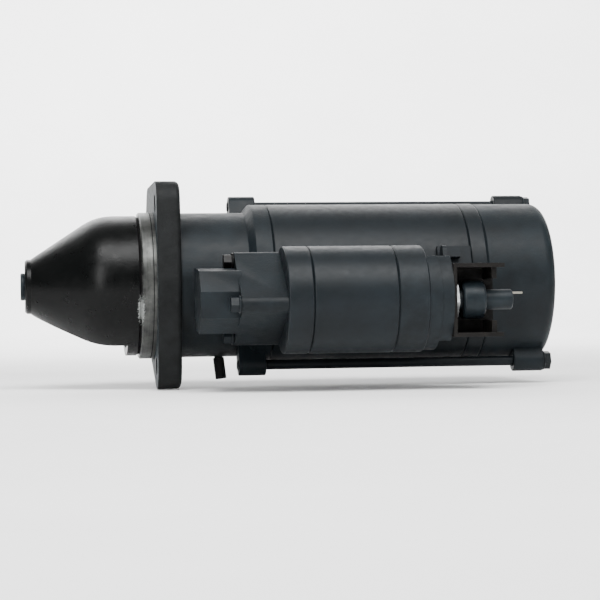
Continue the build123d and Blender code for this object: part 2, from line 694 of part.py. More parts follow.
# Sheet brass boxes that guide the brushes, open at both ends.
box_wall = 1.0
box_gap = 0.15
box_inner_r = commutator_r + 2.6
box_outer_r = commutator_r + brush_height + brush_lift + 4.5
with BuildPart() as brush_boxes:
    for angle in brush_angles:
        with BuildSketch(across(brush_plate_x + plate_thick, turn=angle)):
            with Locations(((box_inner_r + box_outer_r) / 2, 0)):
                Rectangle(box_outer_r - box_inner_r, brush_width + 2 * (box_wall + box_gap))
        extrude(amount=brush_x + brush_length + box_wall + box_gap - brush_plate_x - plate_thick)
        with BuildSketch(across(brush_x - box_gap, turn=angle)):
            with Locations(((box_inner_r + box_outer_r) / 2 - 1, 0)):
                Rectangle(box_outer_r - box_inner_r, brush_width + 2 * box_gap)
        extrude(amount=brush_length + 2 * box_gap, mode=Mode.SUBTRACT)
finished(brush_boxes, "brush_boxes")

for i, angle in enumerate(brush_angles):
    with BuildPart() as carbon_brush:
        with BuildSketch(across(brush_x, turn=angle)):
            with Locations((commutator_r + brush_height / 2, 0)):
                Rectangle(brush_height, brush_width)
            Circle(commutator_r + running_gap, mode=Mode.SUBTRACT)
        extrude(amount=brush_length)
    finished(carbon_brush, f"carbon_brush_{i + 1}")

# Four coil springs, each pressing its brush from the closed outer end of the box.
brush_wire_r = 0.4
spring_start_r = commutator_r + brush_height + brush_wire_r
brush_spring_height = box_outer_r - 1.0 - spring_start_r - brush_wire_r
with BuildPart() as brush_springs:
    for angle in brush_angles:
        coil_spring((brush_x + brush_length / 2, *polar(spring_start_r, angle)),
                    (0, cos(radians(angle)), sin(radians(angle))), 3.2, brush_wire_r, brush_spring_height, 4)
finished(brush_springs, "brush_springs")

# Cast rear cover: a deep cup with two lugs for the through bolts and a hub for the rear bearing.
cover_hub_r = bearing_r + 2.5
plate_screw_head = 2.2
plate_screw_head_r = 4.2
screw_seat_x = cover_rear_x - plate_screw_head - 0.2
with BuildPart() as rear_cover:
    ring(brush_ring_rear_x, cover_rear_x, yoke_r - 0.3)
    fillet(edges().filter_by(GeomType.CIRCLE).group_by(Axis.X)[-1], 7.0)
    chamfer(edges().filter_by(GeomType.CIRCLE).group_by(Axis.X)[0], seam)
    for bolt_angle in bolt_places:
        with BuildSketch(across(rear_lug_x, turn=bolt_angle)):
            with Locations((bolt_circle_outer_r, 0)):
                Circle(lug_r)
            with Locations((bolt_circle_outer_r - lug_root, 0)):
                Rectangle(2 * lug_root, 2 * lug_r)
        extrude(amount=rear_lug_length)
    turned((brush_ring_rear_x - 1, 0), (brush_ring_rear_x - 1, cover_bore_r),
           (cover_floor_x - 4, cover_bore_r), (cover_floor_x, cover_bore_r - 4), (cover_floor_x, 0),
           mode=Mode.SUBTRACT)
    ring(bearing_x - 1.0, cover_floor_x + 0.5, cover_hub_r)
    ring(bearing_x - 2.0, cover_floor_x - 1.0, bearing_r, mode=Mode.SUBTRACT)
    for bolt_angle in bolt_places:
        ring(rear_lug_x - 1, rear_lug_x + rear_lug_length + 1, through_bolt_r + bolt_clearance,
             centre=polar(bolt_circle_outer_r, bolt_angle), mode=Mode.SUBTRACT)
    with BuildSketch(across(cover_floor_x - 1)):
        with PolarLocations(post_circle_r, 2):
            Circle(post_r + bolt_clearance)
    extrude(amount=cover_wall + 2, mode=Mode.SUBTRACT)
    with BuildSketch(across(screw_seat_x)):
        with PolarLocations(post_circle_r, 2):
            Circle(plate_screw_head_r + 0.5)
    extrude(amount=plate_screw_head + 2, mode=Mode.SUBTRACT)
finished(rear_cover, "rear_cover")

# Ball bearing at the rear. The outer race and the balls stay in the cover.
# The inner race turns with the shaft.
ball_r = 2.4
ball_circle_r = (bearing_r + rear_journal_r) / 2
with BuildPart() as bearing_outer:
    ring(bearing_x, bearing_x + bearing_width, bearing_r, ball_circle_r + 1.2, edge=0.3)
    with Locations((bearing_x + bearing_width / 2, 0, 0)):
        Torus(ball_circle_r, ball_r, rotation=(0, 90, 0), mode=Mode.SUBTRACT)
    for i in range(9):
        with Locations((bearing_x + bearing_width / 2, *polar(ball_circle_r, 40 * i))):
            Sphere(ball_r)
finished(bearing_outer, "bearing_outer")

with BuildPart() as bearing_inner:
    ring(bearing_x, bearing_x + bearing_width, ball_circle_r - 1.2, rear_journal_r)
    with Locations((bearing_x + bearing_width / 2, 0, 0)):
        Torus(ball_circle_r, ball_r + 0.1, rotation=(0, 90, 0), mode=Mode.SUBTRACT)
finished(bearing_inner, "bearing_inner")

# Screws that hold the brush plate to the rear cover, with posts inside.
with BuildPart() as brush_plate_screws:
    for angle in (0, 180):
        place = polar(post_circle_r, angle)
        ring(brush_plate_x + plate_thick, cover_floor_x, post_r, centre=place)
        ring(cover_floor_x, screw_seat_x, post_r, centre=place)
        ring(screw_seat_x, screw_seat_x + plate_screw_head, plate_screw_head_r, centre=place, edge=0.6)
        hexagon(screw_seat_x + 1.0, screw_seat_x + plate_screw_head + 1, 3.0, centre=place,
                mode=Mode.SUBTRACT)
finished(brush_plate_screws, "brush_plate_screws")

# The two long bolts that clamp the whole motor, outside the yoke, with flanged hexagon heads.
bolt_tip_x = front_lug_x - 0.8
bolt_seat_x = rear_lug_x + rear_lug_length
with BuildPart() as through_bolts:
    for angle in bolt_places:
        place = polar(bolt_circle_outer_r, angle)
        ring(bolt_tip_x, bolt_seat_x, through_bolt_r, centre=place, edge=0.5)
        ring(bolt_seat_x, bolt_seat_x + 1.4, 6.0, centre=place, edge=0.4)
        hexagon(bolt_seat_x + 1.4, bolt_seat_x + 5.0, 10.0, centre=place, turn=12)
finished(through_bolts, "through_bolts")


# ================================================================ solenoid
plunger_rear_x = can_front_x + 16.8
core_face_x = plunger_rear_x + plunger_travel + 1.0
rod_r = 2.6
screw_depth = 10.0
bobbin_r = plunger_r + 1.4
can_bore_r = solenoid_r - can_wall
coil_r = can_bore_r - 1.6


def beside(across_offset, rise):
    """(Y, Z) of a point given from the solenoid axis: towards the motor, and up."""
    return (solenoid_y + across_offset, solenoid_z + rise)


# Steel mounting ring in front of the can, tapped for the three screws.
with BuildPart() as solenoid_ring:
    ring(mount_ring_x, can_front_x, solenoid_r, centre=solenoid_centre, edge=seam)
    ring(mount_ring_x - 1, can_front_x + 1, plunger_r + plunger_gap, centre=solenoid_centre,
         mode=Mode.SUBTRACT)
    for angle in screw_angles:
        ring(mount_ring_x - 1, mount_ring_x + screw_depth + 1, screw_r,
             centre=polar(screw_circle_r, angle, solenoid_centre), mode=Mode.SUBTRACT)
finished(solenoid_ring, "solenoid_ring")

with BuildPart() as solenoid_can:
    ring(can_front_x, can_rear_x, solenoid_r, centre=solenoid_centre, edge=seam)
    ring(can_front_x - 1, can_rear_x + 1, can_bore_r, centre=solenoid_centre, mode=Mode.SUBTRACT)
finished(solenoid_can, "solenoid_can")

# Brass sleeve and moulded cheeks of the coil former, with the pull-in and hold-in windings on it.
with BuildPart() as coil_former:
    ring(can_front_x, can_rear_x - 6.0, bobbin_r, plunger_r + plunger_gap, centre=solenoid_centre)
    ring(can_front_x, can_front_x + 2.0, can_bore_r, plunger_r + plunger_gap, centre=solenoid_centre)
    ring(can_rear_x - 8.0, can_rear_x - 6.0, can_bore_r, plunger_r + plunger_gap, centre=solenoid_centre)
finished(coil_former, "coil_former")

with BuildPart() as solenoid_winding:
    ring(can_front_x + 2.0, can_rear_x - 8.0, coil_r, bobbin_r, centre=solenoid_centre, edge=1.0)
finished(solenoid_winding, "solenoid_winding")

# Fixed core: plug that the plunger closes against, with its end plate.
with BuildPart() as solenoid_core:
    ring(core_face_x, can_rear_x - 6.0, plunger_r, centre=solenoid_centre)
    ring(can_rear_x - 6.0, can_rear_x, can_bore_r, centre=solenoid_centre)
    ring(core_face_x - 1, can_rear_x + 1, rod_r + 0.5, centre=solenoid_centre, mode=Mode.SUBTRACT)
finished(solenoid_core, "solenoid_core")

# Plunger with its eye, head collar for the return spring, and the rod that carries the contact.
eye_x = lever_pivot_x - plunger_travel / 2
disc_x = can_rear_x + 4.0
disc_thick = 2.6
disc_r = 17.0
stud_head = 2.2
disc_seat_x = disc_x + disc_thick + plunger_travel + stud_head + 0.2
eye_outer_r = 9.0
eye_slot = 2 * eye_half_width + 0.4
eye_plane = Plane(origin=(0, *solenoid_centre), x_dir=(1, 0, 0), z_dir=lever_axis)
with BuildPart() as plunger:
    ring(plunger_front_x + 2.0, plunger_rear_x, plunger_r, centre=solenoid_centre, edge=0.8)
    ring(plunger_front_x, plunger_front_x + 2.0, bracket_bore_r - 0.6, centre=solenoid_centre)
    ring(eye_x - 6.0, plunger_front_x + 1.0, eye_outer_r, centre=solenoid_centre, edge=0.8)
    with BuildSketch(eye_plane.offset(-eye_slot / 2)):
        with Locations((eye_x, 0)):
            Rectangle(2 * eye_r + 0.5, 2 * eye_outer_r + 4)
        with Locations((eye_x, eye_outer_r)):
            Rectangle(15.0, 2 * eye_outer_r)
    extrude(amount=eye_slot, mode=Mode.SUBTRACT)
finished(plunger, "plunger")

with BuildPart() as contact_rod:
    ring(plunger_rear_x, disc_x + disc_thick + 1.5, rod_r, centre=solenoid_centre, edge=0.3)
finished(contact_rod, "contact_rod")

with BuildPart() as contact_disc:
    ring(disc_x, disc_x + disc_thick, disc_r, rod_r, centre=solenoid_centre, edge=0.4)
finished(contact_disc, "contact_disc")

with BuildPart() as return_spring:
    coil_spring((plunger_front_x + 2.0 + return_wire_r, *solenoid_centre), (1, 0, 0), return_spring_r,
                return_wire_r, mount_ring_x - plunger_front_x - 2.0 - 2 * return_wire_r, 4)
finished(return_spring, "return_spring")

# Moulded cap over the contacts: round base, then a narrower deck flattened above and below.
deck_half_height = solenoid_r - 6.6
battery_place = beside(battery_offset, terminal_rise)
motor_place = beside(motor_offset, motor_rise)
battery_shank_r = 6.6
battery_thread_r = 5.9
motor_stud_r = 3.9
with BuildPart() as solenoid_cap:
    ring(can_rear_x, cap_step_x, solenoid_r, centre=solenoid_centre, edge=seam)
    with BuildSketch(across(cap_step_x, solenoid_centre)):
        Circle(solenoid_r - 1.0)
        with Locations((0, deck_half_height + solenoid_r)):
            Rectangle(2 * solenoid_r, 2 * solenoid_r, mode=Mode.SUBTRACT)
    extrude(amount=cap_deck_length / 2)
    with BuildSketch(across(cap_step_x + cap_deck_length / 2, solenoid_centre)):
        Circle(solenoid_r - 1.6)
        with Locations((0, deck_half_height + solenoid_r), (0, -deck_half_height - solenoid_r)):
            Rectangle(2 * solenoid_r, 2 * solenoid_r, mode=Mode.SUBTRACT)
    extrude(amount=cap_deck_length / 2)
    ring(can_rear_x, disc_seat_x, solenoid_r - 6.0, centre=solenoid_centre, mode=Mode.SUBTRACT)
    for place, radius in ((battery_place, battery_shank_r), (motor_place, motor_stud_r)):
        ring(disc_seat_x - 1, cap_rear_x + 1, radius, centre=place, mode=Mode.SUBTRACT)
finished(solenoid_cap, "solenoid_cap")

# Copper contact studs: flat heads inside the cap, threads outside, the battery's with a thinner free end.
battery_stud_rear_x = cap_rear_x + 37.1
motor_stud_rear_x = cap_rear_x + 16.1
stud_head_r = 7.6
sleeve_nut_x = cap_rear_x + 7.0
sleeve_nut_length = 13.3
sleeve_nut_r = 11.0
sleeve_nut_rear_x = sleeve_nut_x + sleeve_nut_length
with BuildPart() as terminal_studs:
    ring(disc_seat_x - stud_head, disc_seat_x, stud_head_r, centre=battery_place)
    ring(disc_seat_x, sleeve_nut_rear_x, battery_shank_r, centre=battery_place)
    ring(sleeve_nut_rear_x, battery_stud_rear_x, battery_thread_r, centre=battery_place, edge=0.6)
    ring(disc_seat_x - stud_head, disc_seat_x, stud_head_r, centre=motor_place)
    ring(disc_seat_x, motor_stud_rear_x, motor_stud_r, centre=motor_place, edge=0.6)
finished(terminal_studs, "terminal_studs")

# Thin lock nuts against the cap, and the nut that clamps the link on the motor stud.
link_x = cap_rear_x + lock_nut
link_thick = 2.6
motor_nut_flats = 13.0
with BuildPart() as terminal_nuts:
    hexagon(cap_rear_x, link_x, 19.0, centre=battery_place, turn=8)
    ring(cap_rear_x - 1, link_x + 1, battery_shank_r, centre=battery_place, mode=Mode.SUBTRACT)
    hexagon(cap_rear_x, link_x, motor_nut_flats, centre=motor_place, turn=20)
    hexagon(link_x + link_thick, link_x + link_thick + 6.5, motor_nut_flats, centre=motor_place, turn=5)
    ring(cap_rear_x - 1, motor_stud_rear_x + 1, motor_stud_r, centre=motor_place, mode=Mode.SUBTRACT)
finished(terminal_nuts, "terminal_nuts")

# Large round sleeve nut of the battery stud, which the cable's eye is clamped against.
with BuildPart() as sleeve_nut:
    ring(sleeve_nut_x, sleeve_nut_rear_x, sleeve_nut_r, centre=battery_place, edge=1.0)
    ring(sleeve_nut_x - 1, sleeve_nut_rear_x + 1, battery_shank_r, centre=battery_place, mode=Mode.SUBTRACT)
finished(sleeve_nut, "sleeve_nut")

guard_wall = 2.5
guard_outer_y = -26.0
guard_inner_y = 2.0

# Flat tab for the ignition switch's wire, moulded into a post behind the guard's inner wall.
tab_thick = 1.2
tab_width = 6.0
tab_post = 1.4            # moulding around the tab
tab_place = beside(guard_inner_y + tab_post + tab_width / 2, 2.8)
tab_post_x = cap_rear_x + 27.0
tab_rear_x = battery_stud_rear_x + 11.0
with BuildPart() as switch_tab:
    with BuildSketch(across(cap_rear_x)):
        with Locations(tab_place):
            Rectangle(tab_width, tab_thick)
    extrude(amount=tab_rear_x - cap_rear_x)
    chamfer(faces().sort_by(Axis.X)[-1].edges(), 0.4)
finished(switch_tab, "switch_tab")

# Moulded guard around the battery terminal: two shelves, an inner wall and two short webs.
guard_rear_x = cap_rear_x + 29.1
guard_lip_x = guard_rear_x + 0.8
guard_top_z = 20.0
guard_bottom_z = -22.3
guard_web_x = guard_rear_x - 6.0
guard_web = 3.0
guard_opening = 24.0
guard_mid_y = (guard_outer_y + guard_inner_y) / 2
guard_mid_z = (guard_top_z + guard_bottom_z) / 2
guard_width = guard_inner_y - guard_outer_y
guard_height = guard_top_z - guard_bottom_z
with BuildPart() as terminal_guard:
    with BuildSketch(across(cap_rear_x, solenoid_centre)):
        with Locations((guard_mid_y, guard_top_z - guard_wall / 2)):
            Rectangle(guard_width, guard_wall)
    extrude(amount=guard_lip_x - cap_rear_x)
    with BuildSketch(across(cap_rear_x, solenoid_centre)):
        with Locations((guard_mid_y, guard_bottom_z + guard_wall / 2)):
            Rectangle(guard_width, guard_wall)
        with Locations((guard_inner_y - guard_wall / 2, guard_mid_z)):
            Rectangle(guard_wall, guard_height)
    extrude(amount=guard_rear_x - cap_rear_x)
    with BuildSketch(across(guard_web_x, solenoid_centre)):
        with Locations((guard_mid_y + 2, guard_mid_z)):
            Rectangle(guard_width - 4, guard_height)
        with Locations((guard_mid_y, terminal_rise)):
            Rectangle(guard_width + 2, guard_opening, mode=Mode.SUBTRACT)
    extrude(amount=guard_web)
    with BuildSketch(across(cap_rear_x, solenoid_centre)):
        with Locations((guard_mid_y, guard_mid_z)):
            Rectangle(guard_width, guard_height)
        with Locations((battery_offset, terminal_rise)):
            Circle(sleeve_nut_r + 0.6, mode=Mode.SUBTRACT)
    extrude(amount=2.0)
    with BuildSketch(across(cap_rear_x)):
        with Locations(tab_place):
            Rectangle(tab_width + 2 * tab_post, tab_thick + 2 * tab_post)
            Rectangle(tab_width, tab_thick, mode=Mode.SUBTRACT)
    extrude(amount=tab_post_x - cap_rear_x)
finished(terminal_guard, "terminal_guard")

# Copper link from the motor stud to the lead that enters the yoke, and the block that seals it there.
link_arm_r = yoke_r + 8.2
link_width = 5.2
link_inner_r = yoke_bore_r - 5.4
link_leg_x = lead_x + lead_length / 2
with BuildPart() as motor_link:
    with BuildSketch(across(link_x)):
        with Locations(motor_place):
            Circle(motor_nut_flats / 2)
        with Locations(polar(link_arm_r, lead_angle)):
            Circle(4.0)
        make_hull()
        with Locations(motor_place):
            Circle(motor_stud_r, mode=Mode.SUBTRACT)
    extrude(amount=link_thick)
    with BuildSketch(across(link_x + link_thick / 2, turn=lead_angle)):
        with Locations((link_arm_r - 2, 0)):
            Rectangle(link_thick, link_width)
    extrude(amount=link_leg_x - link_x)
    with BuildSketch(across(link_leg_x, turn=lead_angle)):
        with Locations(((link_inner_r + link_arm_r - 2 + link_thick / 2) / 2, 0)):
            Rectangle(link_arm_r - 2 + link_thick / 2 - link_inner_r, link_width)
    extrude(amount=link_thick)
finished(motor_link, "motor_link")

with BuildPart() as lead_grommet:
    with BuildSketch(across(lead_x - 1.3, turn=lead_angle)):
        with Locations((yoke_r, 0)):
            Rectangle(7.0, lead_width + 3.2)
    extrude(amount=lead_length + 2.6)
    ring(lead_x - 2, lead_x + lead_length + 2, yoke_r, mode=Mode.SUBTRACT)
    with BuildSketch(across(lead_x, turn=lead_angle)):
        with Locations((yoke_r - 3, 0)):
            Rectangle(10.0, lead_width)
    extrude(amount=lead_length)
    with BuildSketch(across(link_leg_x, turn=lead_angle)):
        with Locations((yoke_r, 0)):
            Rectangle(40.0, link_width)
    extrude(amount=link_thick, mode=Mode.SUBTRACT)
finished(lead_grommet, "lead_grommet")

# Screws that hold the solenoid to the bracket, with small flanged hexagon heads.
with BuildPart() as solenoid_screws:
    for angle in screw_angles:
        place = polar(screw_circle_r, angle, solenoid_centre)
        hexagon(bracket_x - 6.0, bracket_x - 1.4, 8.0, centre=place, turn=angle)
        ring(bracket_x - 1.4, bracket_x, 5.2, centre=place, edge=0.4)
        ring(bracket_x, mount_ring_x + screw_depth, screw_r, centre=place, edge=0.5)
finished(solenoid_screws, "solenoid_screws")
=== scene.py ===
"""A geared starter motor with its solenoid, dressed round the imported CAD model. Lengths are in metres."""
import bpy
import bmesh
import math
from mathutils import Matrix, Vector


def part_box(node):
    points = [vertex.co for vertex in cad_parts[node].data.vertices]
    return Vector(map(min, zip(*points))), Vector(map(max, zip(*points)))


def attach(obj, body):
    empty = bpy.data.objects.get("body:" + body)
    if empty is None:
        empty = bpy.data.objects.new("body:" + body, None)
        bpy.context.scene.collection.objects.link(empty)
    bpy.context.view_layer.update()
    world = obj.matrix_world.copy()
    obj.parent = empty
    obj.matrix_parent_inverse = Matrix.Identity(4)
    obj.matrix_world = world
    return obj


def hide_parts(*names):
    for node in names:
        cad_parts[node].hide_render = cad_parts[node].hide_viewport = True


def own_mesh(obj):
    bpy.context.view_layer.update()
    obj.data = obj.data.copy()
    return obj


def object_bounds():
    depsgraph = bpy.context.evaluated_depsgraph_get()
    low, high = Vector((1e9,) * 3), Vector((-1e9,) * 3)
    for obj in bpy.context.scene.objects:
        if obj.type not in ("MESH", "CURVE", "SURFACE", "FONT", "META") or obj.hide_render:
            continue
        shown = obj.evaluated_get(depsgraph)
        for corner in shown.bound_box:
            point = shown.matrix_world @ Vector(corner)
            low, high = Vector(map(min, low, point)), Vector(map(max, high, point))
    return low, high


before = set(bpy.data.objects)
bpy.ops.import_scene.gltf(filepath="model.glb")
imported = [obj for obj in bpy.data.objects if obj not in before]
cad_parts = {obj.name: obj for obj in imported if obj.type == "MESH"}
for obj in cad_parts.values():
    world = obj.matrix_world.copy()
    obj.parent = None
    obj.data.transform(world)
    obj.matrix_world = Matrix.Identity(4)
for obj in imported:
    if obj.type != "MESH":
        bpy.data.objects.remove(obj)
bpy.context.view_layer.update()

# ---------------------------------------------------------------- nose casting
# The nose, the pilot and the flange are one iron casting, sand cast and then turned on the pilot and the
# flange's faces. The nose is dipped in black enamel, the flange is sprayed satin grey, the pilot stays
# bare.
mm = 0.001
flange_front = -0.3      # the stations are mm along X, and the radii are mm from the motor's axis
pilot_front = -9.4
pilot_radius = 43.6
step_front = -10.2       # the step between the pilot and the nose, painted black as painted shade
step_radius = 41
groove = (-2.3, -1.8)    # the thin groove where the pilot meets the flange, painted black as painted shade


def linear(code):
    """An sRGB hex colour as linear red, green, blue and alpha."""
    parts = [int(code[i:i + 2], 16) / 255 for i in (0, 2, 4)]
    return [p / 12.92 if p < 0.04045 else ((p + 0.055) / 1.055) ** 2.4 for p in parts] + [1]


def add(tree, kind, inputs=(), **settings):
    """Adds a shader node with its settings. Each input is (socket, value), or (socket, output to link)."""
    node = tree.nodes.new("ShaderNode" + kind)
    for key, value in settings.items():
        setattr(node, key, value)
    for socket, value in inputs:
        if isinstance(value, bpy.types.NodeSocket):
            tree.links.new(value, node.inputs[socket])
        else:
            node.inputs[socket].default_value = value
    return node


def ramp(tree, value, start, end):
    """A shader value stretched so that start becomes 0 and end becomes 1."""
    return add(tree, "MapRange", [("Value", value), ("From Min", start), ("From Max", end)]).outputs["Result"]


def noise(tree, place, scale, detail, rough=0.5):
    """A noise pattern with this many features per metre."""
    return add(tree, "TexNoise", [("Vector", place), ("Scale", scale), ("Detail", detail),
                                  ("Roughness", rough)]).outputs["Fac"]


def maths(tree, operation, *values):
    """The result of an arithmetic node."""
    return add(tree, "Math", list(enumerate(values)), operation=operation).outputs[0]


def blend(tree, factor, under, over):
    """One colour laid over another. Each is a hex code's linear value or another node's output."""
    return add(tree, "Mix", [("Factor", factor), (6, under), (7, over)], data_type="RGBA").outputs[2]


def finish(name, dark, light, patch=14, grain=0.6, depth=0.04, rough=(0.45, 0.6), metal=0.0, lines=0.0,
           wear=0.0, bare="55585a", gleam=0.16):
    """A surface finish in two close colours.

    patch is the size of its broad patches, grain the size of its fine texture, depth the height of that
    texture, and lines the spacing of turning lines, all in mm. wear chips the paint from sharp edges down to
    bare metal."""
    material = bpy.data.materials.new(name)
    material.use_nodes = True
    tree = material.node_tree
    tree.nodes.clear()
    place = add(tree, "TexCoord").outputs["Object"]
    broad = noise(tree, place, 1 / (patch * mm), 5.0, 0.62)
    fine = noise(tree, place, 1 / (grain * mm), 3.0, 0.6)
    middling = noise(tree, place, 1 / (5 * grain * mm), 4.0)
    colour = blend(tree, ramp(tree, broad, 0.36, 0.66), linear(dark), linear(light))
    speck = maths(tree, "MULTIPLY", ramp(tree, fine, 0.60, 0.74), 0.22)
    colour = blend(tree, speck, colour, linear(light))
    height = maths(tree, "ADD", fine, middling)
    if lines:
        round_it = 12.0     # features per metre round the axis, so few that each line runs on as a ring
        stretch = add(tree, "Mapping", [("Vector", place), ("Scale", (1 / (lines * mm), round_it, round_it))])
        turned = noise(tree, stretch.outputs[0], 1.0, 3.0, 0.7)
        height = maths(tree, "MULTIPLY", turned, 2.0)
        mark = maths(tree, "MULTIPLY", ramp(tree, turned, 0.35, 0.65), 0.6)
        colour = blend(tree, mark, colour, linear(light))
    shine = ramp(tree, middling, 0.3, 0.7)
    spread = add(tree, "MapRange", [("Value", shine), ("To Min", rough[0]), ("To Max", rough[1])])
    metallic = metal
    if wear:
        reach = 0.7 * mm            # how far from an edge the chips begin
        chips_per_metre = 450.0
        rounded = add(tree, "Bevel", [("Radius", reach)], samples=3).outputs["Normal"]
        true = add(tree, "NewGeometry").outputs["Normal"]
        turn = add(tree, "VectorMath", [(0, rounded), (1, true)], operation="DOT_PRODUCT").outputs["Value"]
        chip = noise(tree, place, chips_per_metre, 6.0, 0.7)
        chip = ramp(tree, chip, 0.62 - 0.2 * wear, 0.68 - 0.2 * wear)
        worn = maths(tree, "MULTIPLY", ramp(tree, turn, 0.985, 0.93), chip)
        colour = blend(tree, worn, colour, linear(bare))
        metallic = worn
    bump = add(tree, "Bump", [("Height", height), ("Distance", depth * mm), ("Strength", 1.0)])
    shader = add(tree, "BsdfPrincipled", [("Base Color", colour), ("Roughness", spread.outputs["Result"]),
                                          ("Metallic", metallic), ("Normal", bump.outputs["Normal"]),
                                          ("Specular IOR Level", gleam)])
    add(tree, "OutputMaterial", [("Surface", shader.outputs[0])])
    return material


def soften(node, name, width, rounder=None, cuts=()):
    """A copy of a CAD node's mesh with its doubles merged, its flat faces joined and its sharp edges rounded.

    width is that rounding in mm, and 0 leaves the mesh unrounded. rounder is (test of an edge's middle in
    mm, width in mm) for edges that are rounded more than the rest. cuts are stations along X, in mm, where
    the faces are split so that a finish can end there."""
    turn = math.radians(32)     # an edge that turns more than this is sharp
    crisp = 0.8                 # radians: only edges that turn more than this get the rounder rounding
    flat = math.radians(1.5)    # faces that turn less than this from each other are one face
    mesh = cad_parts[node].data.copy()
    mesh.materials.clear()
    piece = bpy.data.objects.new(name, mesh)
    bpy.context.scene.collection.objects.link(piece)
    bpy.ops.object.select_all(action="DESELECT")
    piece.select_set(True)
    bpy.context.view_layer.objects.active = piece
    bpy.ops.object.mode_set(mode="EDIT")
    bpy.ops.mesh.select_all(action="SELECT")
    bpy.ops.mesh.remove_doubles(threshold=0.002 * mm)
    bpy.ops.mesh.normals_make_consistent(inside=False)
    if width:
        bpy.ops.mesh.dissolve_limited(angle_limit=flat)
    for station in cuts:
        bpy.ops.mesh.select_all(action="SELECT")
        bpy.ops.mesh.bisect(plane_co=(station * mm, 0, 0), plane_no=(1, 0, 0))
    if rounder:
        wanted, rounding = rounder
        bpy.ops.mesh.select_mode(type="EDGE")
        bpy.ops.mesh.select_all(action="DESELECT")
        work = bmesh.from_edit_mesh(mesh)
        for edge in work.edges:
            if edge.is_manifold and edge.calc_face_angle() > crisp:
                edge.select_set(wanted((edge.verts[0].co + edge.verts[1].co) / (2 * mm)))
        bmesh.update_edit_mesh(mesh)
        bpy.ops.mesh.bevel(offset=rounding * mm, segments=4, profile=0.5, affect="EDGES", clamp_overlap=True,
                           loop_slide=False, material=0)
    bpy.ops.object.mode_set(mode="OBJECT")
    if width:
        bevel = piece.modifiers.new("bevel", "BEVEL")
        bevel.width = width * mm
        bevel.segments = 3
        bevel.angle_limit = turn
        bevel.limit_method = "ANGLE"
        bpy.ops.object.modifier_apply(modifier="bevel")
    bpy.ops.object.shade_smooth_by_angle(angle=turn)
    if width:
        piece.modifiers.new("flat faces", "WEIGHTED_NORMAL").keep_sharp = True
        bpy.ops.object.modifier_apply(modifier="flat faces")
    return piece


def coat_faces(piece, finishes, choose):
    """Gives each face of the piece the finish that choose picks from its centre, in mm, and its normal."""
    for coating in finishes:
        piece.data.materials.append(coating)
    for face in piece.data.polygons:
        face.material_index = choose(face.center / mm, face.normal)


# Enamel levels over the rough skin, so it is almost black, with a tight and slightly lumpy gloss.
enamel = finish("black enamel over casting", "010202", "020303", patch=16, grain=1.1, depth=0.07,
                rough=(0.26, 0.36), gleam=0.13)
# Bare turned iron is mid grey, with fine rings that catch the light. They are drawn coarse enough to show.
machined = finish("turned iron", "212222", "525351", patch=9, grain=0.5, depth=0.03, rough=(0.32, 0.42),
                  metal=0.75, lines=1.5)
# Sprayed paint is satin. It is thin on the flange's face, which is coloured lighter as painted light, and
# thick and pitted on its cast rim, which is coloured darker as painted shade.
face_paint_lit = finish("flange face paint painted lighter", "1a2225", "262f34", patch=14, grain=0.8, depth=0.1,
                    rough=(0.5, 0.64), wear=0.3)
rim_paint_shaded = finish("flange rim paint with painted shade", "090b0b", "111314", patch=9, grain=1.3, depth=0.22, rough=(0.55, 0.72),
                   wear=0.5, bare="3a3c3d")
# Matt black is painted into the groove and the step as painted shade, so that they read as a gap.
gap_shade_black = finish("painted shade in a groove", "020202", "040404", patch=5, grain=0.6, depth=0.05, rough=(0.7, 0.85))


def bruise(material):
    """Breaks the finish open to pale iron where the pilot's front edge was hit, below the middle."""
    tree = material.node_tree
    shader = next(n for n in tree.nodes if n.type == "BSDF_PRINCIPLED")
    place = add(tree, "TexCoord").outputs["Object"]
    spot = (-9.6 * mm, -41 * mm, -15 * mm)
    shrink = (400, 80, 85)      # one over the bruise's rough half size, in metres: long and narrow
    grains_per_metre = 900.0
    near = add(tree, "VectorMath", [(0, place), (1, spot)], operation="SUBTRACT").outputs[0]
    near = add(tree, "VectorMath", [(0, near), (1, shrink)], operation="MULTIPLY").outputs[0]
    far = add(tree, "VectorMath", [(0, near)], operation="LENGTH").outputs["Value"]
    ragged = maths(tree, "MULTIPLY_ADD", noise(tree, place, grains_per_metre, 6.0, 0.75), 2.6, far)
    covered = shader.inputs["Base Color"].links[0].from_socket
    colour = blend(tree, ramp(tree, ragged, 2.02, 1.90), covered, linear("7f8280"))
    tree.links.new(colour, shader.inputs["Base Color"])


for coating in (enamel, machined, gap_shade_black):
    bruise(coating)
nose = soften("nose_housing", "nose_casting", 0.6, cuts=groove)


def nose_finish(centre, normal):
    """Which of the nose's five finishes a face has, by its place."""
    bare_enamel, bare_iron, flange_face, flange_rim, shaded_gap = range(5)
    radius = math.hypot(centre.y, centre.z)
    if centre.x > flange_front:
        # A face turned to the front gets the lighter paint, as painted light, and the rest of the flange gets
        # the darker paint, as painted shade.
        return flange_face if normal.x < -0.7 else flange_rim
    if centre.x > pilot_front and radius > pilot_radius:
        return shaded_gap if groove[0] < centre.x < groove[1] else bare_iron
    return shaded_gap if centre.x > step_front and radius > step_radius else bare_enamel


coat_faces(nose, [enamel, machined, face_paint_lit, rim_paint_shaded, gap_shade_black], nose_finish)
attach(nose, "housing")
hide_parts("nose_housing")

# ---------------------------------------------------------------- drive housing
# An aluminium sand casting with the bracket that carries the solenoid. It was sprayed with the assembled
# motor. The paint is satin charcoal. On a casting it follows the grain of the sand, so its shine breaks up.
cast_charcoal = finish("charcoal paint on casting", "0b1013", "131a1e", patch=24, grain=1.2, depth=0.1,
                       rough=(0.44, 0.56))


def at_lug(middle):
    """Whether an edge belongs to the lugs that stand proud of the barrel for the through bolts."""
    return abs(middle.z) > 43 and math.hypot(middle.y, middle.z) > 49.4


piece = soften("drive_housing", "drive_casting", 0.8, rounder=(at_lug, 2.0))
piece.data.materials.append(cast_charcoal)
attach(piece, "housing")
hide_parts("drive_housing")

